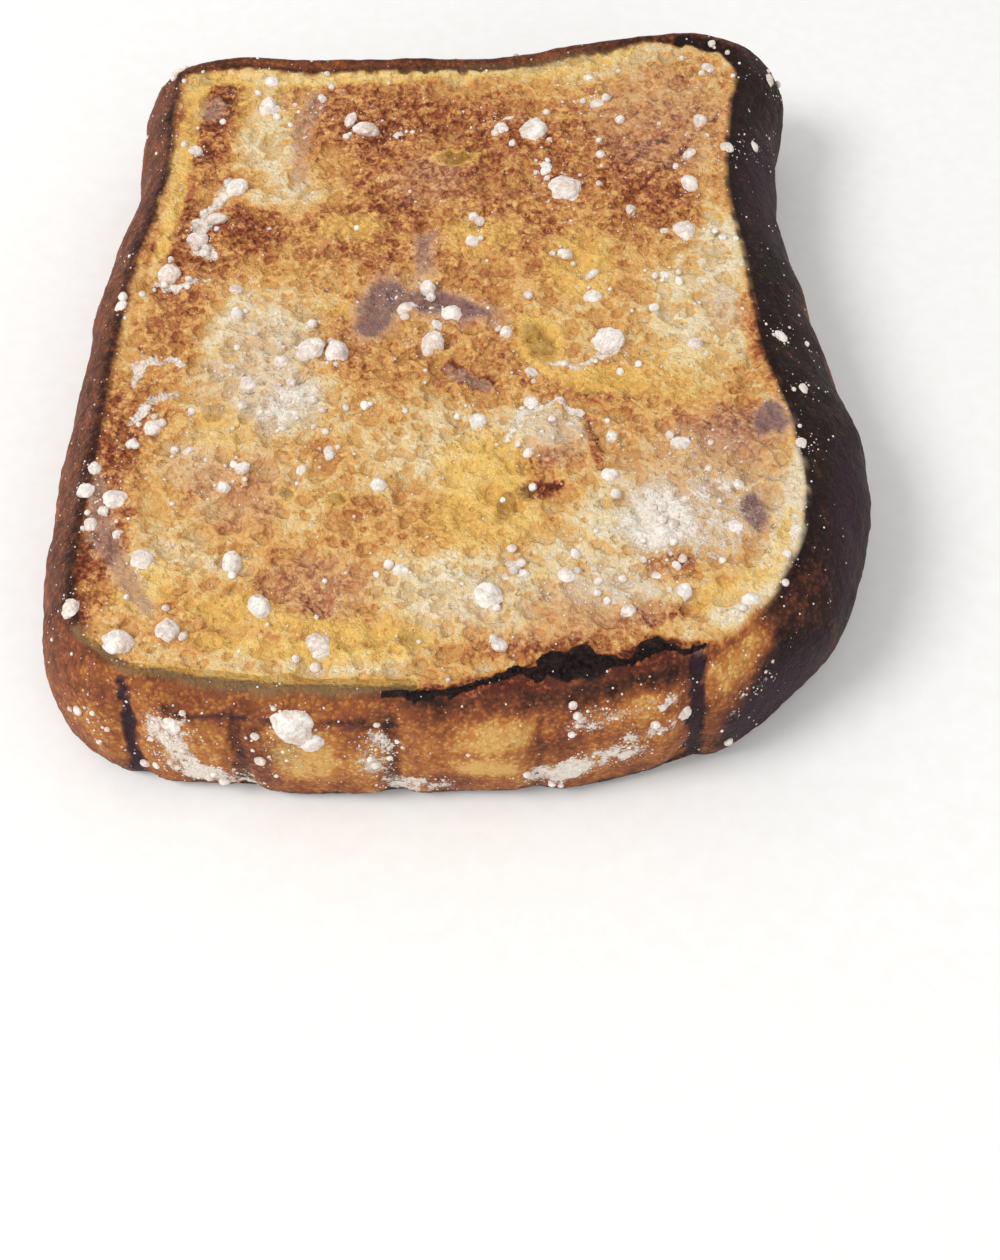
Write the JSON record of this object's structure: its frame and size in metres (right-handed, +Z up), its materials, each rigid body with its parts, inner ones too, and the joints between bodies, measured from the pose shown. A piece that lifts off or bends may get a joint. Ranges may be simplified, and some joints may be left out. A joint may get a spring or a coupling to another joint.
{
  "type": "toast",
  "caption": "Thick slice of fried toast with a golden face, a dark rounded crust, a charred near rim and clumps of icing sugar fused on top.",
  "frame": {"origin": "centre of the slice's bounding box, at its lower cut face", "axes": "+Z up through the slice's thickness; +Y towards the crown of the loaf; +X to the right seen from the near side"},
  "size_m": [0.1176, 0.1332, 0.0264],
  "materials": {
    "toasted_bread": "satin",
    "icing_sugar": "matte"
  },
  "bodies": {
    "root": {"toast": "toasted_bread"}
  },
  "joints": []
}
